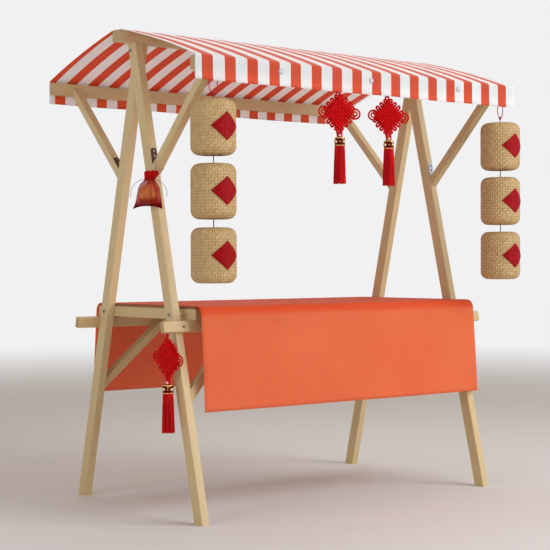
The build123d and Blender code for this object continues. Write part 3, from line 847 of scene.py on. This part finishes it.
# Mulberry paper, glued inside as a lining: soft, pale and full of short fibres.
lining_back = 0.0022
lining = bmesh.new()
line = []
for number in range(41):
    radius, height, out = wall_point(wall_length * number / 40)
    line.append(lining.verts.new((radius - lining_back * out[0], 0, height - lining_back * out[1])))
turn_round(lining, [lining.edges.new(pair) for pair in zip(line, line[1:])], 48)
paper, tree, place, normal = fresh_material("mulberry_paper_lining")
cloud = node(tree, "TexNoise", {"Vector": place, "Scale": 180.0, "Detail": 4.0})
fibre = node(tree, "TexNoise", {"Vector": place, "Scale": 1300.0, "Detail": 2.0})
tone = node(tree, "ValToRGB", {"Fac": cloud}, stops=[(0.3, linear("D8BF8E")), (0.7, linear("E6D1A4"))])
feed(paper, tone, node(tree, "MapRange", {"Value": fibre, "To Min": 0.78, "To Max": 0.92}), fibre)

bamboo_weaver = bamboo("split_bamboo_weavers", False)
bamboo_stake = bamboo("split_bamboo_stakes", True)
red_satin = satin("red_satin_patch", "84030A", "A6060C", 0.5)
lantern_materials = [bamboo_weaver, bamboo_stake, red_satin, paper]
patch_half = (0.0585, 0.0500)
patch_lift = 0.0018
patch_thickness = 0.0009
slat_size = (2 * opening_radius, 0.009, 0.0022)
slat_turn = 0.4


def build_lantern(x, top):
    """One lantern: weavers, stakes, lining, hoops, crossed slats and the satin diamond."""
    shape = bmesh.new()
    for part, slot in ((weavers, 0), (stakes, 1), (lining, 3)):
        strips = bpy.data.meshes.new("strips")
        part.to_mesh(strips)
        take_in(shape, strips, slot)
    bmesh.ops.recalc_face_normals(shape, faces=shape.faces)
    bmesh.ops.solidify(shape, geom=shape.faces[:], thickness=strip_thickness)
    hoop_heights = (-hoop_radius, hoop_radius - lantern_height)
    hoops = [circle_points((0, 0, z), opening_radius, 48) for z in hoop_heights]
    add_cords(shape, hoops, hoop_radius, closed=True)
    for z in hoop_heights:
        for turn in (slat_turn, slat_turn + pi / 2):
            slat = (Matrix.Translation((0, 0, z)) @ Matrix.Rotation(turn, 4, "Z")
                    @ Matrix.Diagonal((*slat_size, 1)))
            made = bmesh.ops.create_cube(shape, size=1, matrix=slat)
            rim = {edge for vert in made["verts"] for edge in vert.link_edges}
            bmesh.ops.bevel(shape, geom=list(rim), offset=0.0006, segments=1, profile=0.5,
                            affect="EDGES", material=-1)
    grid = bmesh.ops.create_grid(shape, x_segments=18, y_segments=18, size=0.5)
    radius = lantern_radius + patch_lift
    for vert in grid["verts"]:
        a, b = vert.co.x, vert.co.y
        turn = -pi / 2 + (a - b) * patch_half[0] / lantern_radius
        vert.co = (radius * cos(turn), radius * sin(turn), -lantern_height / 2 + (a + b) * patch_half[1])
    faces = list({face for vert in grid["verts"] for face in vert.link_faces})
    for face in faces:
        face.material_index = 2
    bmesh.ops.recalc_face_normals(shape, faces=faces)
    bmesh.ops.solidify(shape, geom=faces, thickness=patch_thickness)
    bmesh.ops.translate(shape, verts=shape.verts, vec=(x, hang_line, top))
    return shape


for place, x in string_places.items():
    for number in range(3):
        shape = build_lantern(x, lantern_top - number * lantern_pitch)
        lantern = finished(f"bamboo_{place}_{number + 1}", shape, lantern_materials)
        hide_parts(f"lantern_{place}_{number + 1}")
for part in (weavers, stakes, lining):
    part.free()

# Lantern cords: thin red braided cord, looped over the front eave beam, tied once above
# the first lantern and then run down through all three.
braid = satin("red_braided_cord", "A02634", "C04A58", 0.5)
cord_radius = 0.0018
loop_half = 0.029
loop_front = -0.4958
loop_rear = -0.4702
loop_low = 1.5792
loop_high = 1.6308
tie_rise = 0.017


def drape_loop(x, apex, half):
    """Cord over the front eave beam, from the tie up, around and back to the tie."""
    runs = []
    for way, face in ((-1, loop_front), (1, loop_rear)):
        runs.append([(x + way * half * share, base + way * shift, height) for share, base, shift, height in (
            (0.30, hang_line, 0.002, apex + 0.005), (0.56, hang_line, 0.004, apex + 0.013),
            (0.80, face, -0.005, apex + 0.031), (0.93, face, -0.002, apex + 0.054),
            (1.0, face, 0.0, loop_low), (1.0, face, 0.0, loop_high - 0.002),
            (0.92, face, -0.002, loop_high))])
    return [(x, hang_line, apex)] + runs[0] + runs[1][::-1]


def tie_turns(x, y, z, radius, height, turns):
    """A short wrapped tie, as a tight coil of cord."""
    angles = [2 * pi * i / 12 for i in range(turns * 12 + 1)]
    return [(x + radius * cos(angle), y + radius * sin(angle), z + height * angle / (2 * pi * turns))
            for angle in angles]


for place, x in string_places.items():
    cords = bmesh.new()
    apex = lantern_top + tie_rise
    add_cords(cords, [drape_loop(x, apex, loop_half)], cord_radius, closed=True)
    add_cords(cords, [tie_turns(x, hang_line, apex - 0.002, 0.0026, 0.010, 5)], cord_radius)
    runs = [[(x, hang_line, apex), (x, hang_line, lantern_top - 0.004)]]
    for number in (1, 2):
        low = lantern_top - number * lantern_pitch
        runs.append([(x, hang_line, low + lantern_pitch - lantern_height + 0.004),
                     (x + 0.0008, hang_line, low + 0.016), (x, hang_line, low - 0.004)])
    add_cords(cords, runs, cord_radius)
    cord = finished(f"hanging_cord_{place}", cords, [braid])
    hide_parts(f"lantern_cord_{place}")

# Knot charms: thick satin cord tied into a flat woven knot of eight cords each way, with
# ears on its sides, a double ring at each corner, a beaded brass collar and a tassel.
knot_angle = radians(51)
cord_pitch = 0.0098
knot_cord = 0.0039
knot_swell = 1.42
knot_lift = 0.0034
# How far each ear reaches from the middle: the ear beside a ring is short.
ear_reaches = {3: 0.0490, 1: 0.0565, -1: 0.0580, -3: 0.0580}
ring_places = ((-0.0562, 0.0056), (0.0588, -0.0062))
ring_sizes = ((0.0182, 0.0034), (0.0083, 0.0031))
collar_top = -0.0925
collar_height = 0.032
collar_radius = 0.0198
tassel_end = -0.2655
tassel_radii = (0.0175, 0.0233)
thread_count = 88
thread_radius = 0.00105
knot_middle = 1.473
charm_turn = radians(-38)
charm_lean = 0.0022
charm_loop_rise = 0.081
charm_loop_cord = 0.0013
rail_charm_turn = radians(-82)
knot_satin = satin("red_satin_cord", "BA0408", "DC080E", 0.4)
# The tassel's tone is drawn out along its threads into light and dark streaks: partly thread tone, partly
# painted highlights of the skein's gloss.
tassel_silk = satin("red_tassel_thread", "8C0206", "EA1216", 0.38, (300, 300, 4))
collar_lacquer = satin("dark_red_lacquer", "4E0608", "6A0C0E", 0.26)
gilt = plated("gilt_brass", "EFC274", 0.24)
pearl = satin("pink_pearl_bead", "E4B0A6", "F4D0C8", 0.2)
cream = satin("cream_pearl_bead", "F2D08C", "FCEBC4", 0.22)


def family_loops(mirror):
    """The four long loops that run one way through the knot, over and under the others."""
    up = sin(knot_angle) * mirror
    run = Vector((cos(knot_angle), up))
    side = Vector((up, -cos(knot_angle))) * mirror
    step = cord_pitch / sin(2 * knot_angle)
    skew = (1 / tan(knot_angle) - tan(knot_angle)) / 2
    half = cord_pitch / 2
    loops = []
    for ear in (-3, -1, 1, 3):
        points = []
        ends = {1: ear_reaches[ear] - half, -1: half - ear_reaches[-ear]}
        for lane, way in ((ear * cord_pitch - half, 1), (ear * cord_pitch + half, -1)):
            index = round(lane / cord_pitch + 3.5)
            for number in range(53):
                s = ends[-way] + (ends[way] - ends[-way]) * number / 52
                crossing = (s - lane * skew) / step
                fade = min(1.0, max(0.0, (4.9 - abs(crossing)) / 0.9)) * mirror
                lift = knot_lift * fade * cos(pi * (index + crossing + 3.5)) - 0.0007 * fade
                spot = run * s + side * lane
                points.append((spot.x, spot.y, lift, 1 + (knot_swell - 1) * fade * mirror))
            for number in range(1, 6):
                turn = pi * number / 6
                s = ends[way] + way * half * sin(turn)
                spot = run * s + side * (ear * cord_pitch - way * half * cos(turn))
                points.append((spot.x, spot.y, 0.0))
        loops.append(points)
    return loops


def paint(verts, slot):
    """Put all faces around some verts in one material slot."""
    for face in {f for vert in verts for f in vert.link_faces}:
        face.material_index = slot


def add_turned(shape, x, low, high, wide_low, wide_high, slot, segments=40):
    """A turned part about an upright line of the charm, from one height to another."""
    seat = Matrix.Translation((x, (low + high) / 2, 0)) @ Matrix.Rotation(-pi / 2, 4, "X")
    made = bmesh.ops.create_cone(shape, cap_ends=True, segments=segments, radius1=wide_low,
                                 radius2=wide_high, depth=high - low, matrix=seat)
    paint(made["verts"], slot)


def build_charm(centre, turn, lean):
    """A charm with its knot at centre, turned about the vertical, its tassel a little askew."""
    shape = bmesh.new()
    add_cords(shape, family_loops(1) + family_loops(-1), knot_cord, closed=True)
    for spot in ring_places:
        for number, (radius, cord) in enumerate(ring_sizes):
            ring = circle_points((*spot, 0.001 + 0.0015 * number), radius, 32 - 8 * number)
            add_cords(shape, [ring], cord, closed=True)
    add_cords(shape, [circle_points((-0.004, 0.0690, 0.001), 0.0066, 22)], 0.0036, closed=True)
    neck = []
    for lane, spread in ((-0.0086, -0.0076), (-0.0036, -0.0032), (0.0036, 0.0032), (0.0086, 0.0076)):
        neck.append([(lane * 0.6, -0.048, 0), (lane, -0.066, 0), (lane + lean * 0.5, -0.076, -0.001),
                     (spread + lean, -0.085, -0.001), (spread * 0.9 + lean, -0.095, 0)])
    add_cords(shape, neck, 0.0034)
    add_cords(shape, [[(-0.006, 0.0760, 0), (-0.0018, 0.0785, 0), (-0.0016, 0.086, 0)],
                      [(-0.001, 0.0750, 0), (0.0014, 0.0780, 0), (0.0016, 0.086, 0)]], 0.0024)
    coil = [(x, z, y) for x, y, z in tie_turns(0, 0, 0.0785, 0.0036, 0.0080, 4)]
    add_cords(shape, [coil], 0.0017)
    low = collar_top - collar_height
    band_top = collar_top - 0.009
    add_turned(shape, lean, low, collar_top, collar_radius - 0.0022, collar_radius - 0.0030, 2)
    add_turned(shape, lean, low + 0.003, band_top, collar_radius - 0.0006, collar_radius, 2)
    add_turned(shape, lean, band_top, band_top + 0.006, collar_radius, collar_radius - 0.0016, 2)
    for height, inset in ((low + 0.0022, 0.0012), (collar_top - 0.0022, 0.0022)):
        ring = circle_points((lean, height, 0), collar_radius - inset, 40, (0, 0, 1))
        add_cords(shape, [ring], 0.0022, closed=True, slot=3)
    # A big bead, a small bead and so on around; the collar turns freely on its cord.
    beads = []
    reach = collar_radius + 0.0004
    for number in range(8):
        around = pi / 4 * number + pi / 2 + turn + radians(38)
        size, slot = (0.0048, 5) if number % 2 else (0.0024, 3)
        spot = (cos(around) * reach + lean, (low + collar_top) / 2, sin(around) * reach)
        beads.append((size, slot, spot))
    beads.append((0.0056, 4, (0.001 + lean * 0.7, -0.0855, 0.0056)))
    for size, slot, spot in beads:
        made = bmesh.ops.create_uvsphere(shape, u_segments=16, v_segments=9, radius=size,
                                         matrix=Matrix.Translation(spot))
        paint(made["verts"], slot)
    add_turned(shape, lean, tassel_end + 0.004, low, tassel_radii[1] - 0.0028,
               tassel_radii[0] - 0.0022, 1, 32)
    dice = random.Random(int(1000 * abs(centre[0])))
    threads = []
    for number in range(thread_count):
        angle = 2 * pi * number / thread_count + dice.uniform(-0.02, 0.02)
        end = tassel_end + dice.uniform(-0.0015, 0.0035)
        sway = dice.uniform(-0.05, 0.05)
        line = []
        for step in range(8):
            share = step / 7
            radius = tassel_radii[0] + (tassel_radii[1] - tassel_radii[0]) * share ** 0.8
            radius += dice.uniform(-0.0003, 0.0004) - 0.0011 * share * (1 + cos(5 * angle + 0.6))
            bend = angle + sway * sin(share * pi)
            height = low + 0.002 + (end - low) * share
            line.append((cos(bend) * radius + lean, height, sin(bend) * radius))
        threads.append(line)
    add_cords(shape, threads, thread_radius, sides=0, slot=1)
    x, y, z = centre
    place = Matrix(((cos(turn), 0, sin(turn), x), (sin(turn), 0, -cos(turn), y), (0, 1, 0, z), (0, 0, 0, 1)))
    bmesh.ops.transform(shape, matrix=place, verts=shape.verts)
    return shape


charm_materials = [knot_satin, tassel_silk, collar_lacquer, gilt, pearl, cream]
for name, x in (("middle", -0.132), ("right", 0.115)):
    shape = build_charm((x, hang_line, knot_middle), charm_turn, charm_lean)
    loop = drape_loop(x, knot_middle + charm_loop_rise, 0.0)
    add_cords(shape, [loop], charm_loop_cord, closed=True)
    charm = finished(f"satin_knot_{name}", shape, charm_materials)
    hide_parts(f"knot_charm_{name}")

# The third charm hangs from a zinc plated screw eye under the overhanging end of the long
# rail, by a short loop of thin cord through the eye.
charm_low, charm_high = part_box("knot_charm_rail")
x = (charm_low.x + charm_high.x) / 2 - middle.x - 0.007
y = (charm_low.y + charm_high.y) / 2 - middle.y
rail_knot = charm_low.z + 0.265
rail_under = charm_high.z
eye_wire = 0.0008
shape = build_charm((x, y, rail_knot), rail_charm_turn, 0.0)
eye = circle_points((x, y, rail_under - 0.0045), 0.003, 16, (0, 0, 1))
shank = [(x, y, rail_under - 0.0015), (x, y, rail_under + 0.002)]
add_cords(shape, [eye], eye_wire, closed=True, sides=1, slot=6)
add_cords(shape, [shank], eye_wire, sides=1, slot=6)
half = [(0.0008, rail_knot + 0.080), (0.003, rail_under - 0.010), (0.0012, rail_under - 0.0075)]
loop = [(x, y - away, z) for away, z in half] + [(x, y + away, z) for away, z in reversed(half)]
add_cords(shape, [loop], 0.0012)
charm = finished("satin_knot_rail", shape, charm_materials + [zinc])
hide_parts("knot_charm_rail")

# Gift pouch: sheer red organza, gathered at the neck by a thin drawstring, with its two
# layers sewn flat along the bottom, and two big gold wrapped sweets inside. It hangs by a
# thin cord round the left front strut.
pouch_turn = radians(-38)
pouch_across = Vector((cos(pouch_turn), sin(pouch_turn), 0))
pouch_out = Vector((sin(pouch_turn), -cos(pouch_turn), 0))
pouch_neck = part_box("gift_pouch")[0].z + 0.107
pouch_place = Vector((-0.7714, -0.1665, pouch_neck))
# Height over the neck, half width, half depth, depth of the pleats, and lean to the right.
pouch_lines = (
    (0.0285, 0.0215, 0.0100, 0.0014, 0.0150), (0.0235, 0.0243, 0.0115, 0.0020, 0.0150),
    (0.0155, 0.0248, 0.0120, 0.0020, 0.0146), (0.0070, 0.0212, 0.0110, 0.0018, 0.0115),
    (0.0000, 0.0180, 0.0100, 0.0016, 0.0085), (-0.0040, 0.0172, 0.0098, 0.0016, 0.0078),
    (-0.0100, 0.0215, 0.0125, 0.0015, 0.0066), (-0.0170, 0.0290, 0.0165, 0.0012, 0.0056),
    (-0.0270, 0.0345, 0.0200, 0.0010, 0.0050), (-0.0380, 0.0392, 0.0218, 0.0009, 0.0050),
    (-0.0610, 0.0436, 0.0222, 0.0008, 0.0050), (-0.0760, 0.0455, 0.0190, 0.0008, 0.0045),
    (-0.0870, 0.0472, 0.0135, 0.0007, 0.0036), (-0.0980, 0.0500, 0.0070, 0.0005, 0.0020),
    (-0.1050, 0.0525, 0.0030, 0.0003, 0.0008), (-0.1100, 0.0540, 0.0012, 0.0, 0.0))
pouch_columns = 96


def pouch_line(points):
    """Points given across, up and out of the pouch's neck."""
    return [pouch_place + pouch_across * a + Vector((0, 0, b)) + pouch_out * c for a, b, c in points]


def pouch_ring(line):
    """Points of the pouch's cloth on one of its lines."""
    height, width, depth, pleat, lean = line
    points = []
    for number in range(pouch_columns):
        turn = 2 * pi * number / pouch_columns
        along = cos(turn)
        ripple = pleat * (cos(turn * 14 + height * 120) + 0.5 * cos(turn * 23 + 2.0))
        arch = 0.011 * (1 - along * along) * min(1.0, max(0.0, (-height - 0.070) / 0.036))
        frill = 0.0012 * cos(turn * 9) * max(0.0, (height - 0.012) / 0.016)
        if height > 0.02:
            frill -= 0.0016 * along * along
        wide = (width + ripple) * (abs(along) ** 0.85) * (1 if along > 0 else -1)
        points.append((wide + lean, height + arch + frill, (depth + ripple) * sin(turn)))
    return pouch_line(points)


pouch = bmesh.new()
ring = bmesh.ops.create_circle(pouch, cap_ends=False, radius=0.03, segments=pouch_columns)["verts"]
ring = sorted(ring, key=lambda v: atan2(v.co.y, v.co.x))
front = list(pouch.edges)
for index, line in enumerate(pouch_lines):
    if index:
        front, fresh = pull(pouch, front)
        fresh = set(fresh)
        ring = [next(e.other_vert(v) for e in v.link_edges if e.other_vert(v) in fresh) for v in ring]
    for vert, spot in zip(ring, pouch_ring(line)):
        vert.co = spot
bmesh.ops.recalc_face_normals(pouch, faces=pouch.faces)

sheer = 0.60
organza, tree, place, normal = fresh_material("red_organza")
cloud = node(tree, "TexNoise", {"Vector": place, "Scale": 70.0, "Detail": 3.0})
thread = node(tree, "TexNoise", {"Vector": place, "Scale": 1200.0, "Detail": 2.0})
tone = node(tree, "ValToRGB", {"Fac": cloud}, stops=[(0.3, linear("A20608")), (0.7, linear("CA0E10"))])
gloss = node(tree, "MapRange", {"Value": thread, "To Min": 0.4, "To Max": 0.58})
height = node(tree, "SeparateXYZ", {0: place}, out="Z")
hem = node(tree, "MapRange", {"Value": height, "From Min": pouch_neck - 0.102,
                              "From Max": pouch_neck - 0.070, "To Min": 0.99, "To Max": sheer})
frill = node(tree, "MapRange", {"Value": height, "From Min": pouch_neck - 0.014,
                                "From Max": pouch_neck + 0.004, "To Min": sheer, "To Max": 0.97})
cover = node(tree, "Math", {0: hem, 1: frill}, operation="MAXIMUM")
dense = node(tree, "MapRange", {"Value": hem, "From Min": 0.62, "From Max": 0.95, "To Max": 0.9})
tone = node(tree, "Mix", {0: dense, 6: tone, 7: linear("540306")}, out=2, data_type="RGBA")
fold = node(tree, "MapRange", {"Value": cloud, "To Min": -0.06, "To Max": 0.06})
cover = node(tree, "Math", {0: cover, 1: fold}, operation="ADD", use_clamp=True)
feed(organza, tone, gloss, thread, Specular_IOR_Level=0.06)
tree.links.new(cover, tree.nodes["Principled BSDF"].inputs["Alpha"])

foil = plated("gold_foil", "FFD27A", 0.45)
drawstring = satin("thin_drawstring", "6E1018", "86202A", 0.5)
# Across, up, half width, half height and half depth of each sweet.
sweets = ((0.0050, -0.0500, 0.0235, 0.0360, 0.0150), (-0.0135, -0.0580, 0.0195, 0.0300, 0.0125))
for number, (along, up, wide, high, deep) in enumerate(sweets):
    made = bmesh.ops.create_icosphere(pouch, subdivisions=4, radius=1.0)
    spots = []
    for vert in made["verts"]:
        a, b, c = vert.co
        crumple = 1 + 0.10 * noise.noise(vert.co * 3.1 + Vector((number * 7.0, 0, 0)))
        crumple += 0.05 * noise.noise(vert.co * 9.0)
        narrow = (1 - 0.24 * c) * crumple
        spots.append((along + a * wide * narrow, up + c * high * crumple, b * deep * narrow))
    for vert, spot in zip(made["verts"], pouch_line(spots)):
        vert.co = spot
    paint(made["verts"], 1)

# The drawstring: its two loose ends, its turns round the neck, and the cord to the strut.
string_ends = [
    pouch_line([(-0.010, -0.002, 0.006), (-0.026, -0.006, 0.010), (-0.042, -0.016, 0.010),
                (-0.054, -0.032, 0.009), (-0.060, -0.050, 0.007), (-0.061, -0.068, 0.006)]),
    pouch_line([(0.026, -0.002, 0.006), (0.042, -0.009, 0.010), (0.056, -0.020, 0.010),
                (0.067, -0.034, 0.010), (0.072, -0.049, 0.009), (0.069, -0.066, 0.008)]),
]
add_cords(pouch, string_ends, 0.0009, sides=1, slot=2)
neck_turns = []
turn_steps = pouch_columns // 3
for number in range(2 * turn_steps):
    turn = 2 * pi * number / turn_steps
    rise = -0.0030 + 0.0016 * number / turn_steps
    wide = 0.0186 * abs(cos(turn)) ** 0.85 * (1 if cos(turn) > 0 else -1)
    neck_turns.append((wide + 0.0080, rise, 0.0112 * sin(turn)))
add_cords(pouch, [pouch_line(neck_turns)], 0.0010, sides=1, slot=2)
strut_faces = (-0.7358, -0.7002)
strut_low = pouch_neck + 0.035
strut_high = pouch_neck + 0.0825
neck_middle, frill_middle = pouch_line([(0.008, 0, 0), (0.014, 0.027, 0)])
beside = Vector((0.002, 0, 0))
hanger = [neck_middle, frill_middle]
hanger += [(strut_faces[0], pouch_place.y, z) for z in (strut_low, strut_high)]
hanger += [(strut_faces[1], pouch_place.y, z) for z in (strut_high, strut_low)]
hanger += [frill_middle + beside, neck_middle + beside]
add_cords(pouch, [hanger], 0.0007, sides=1, slot=2)
pouch_piece = finished("organza_pouch", pouch, [organza, foil, drawstring])
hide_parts("gift_pouch")
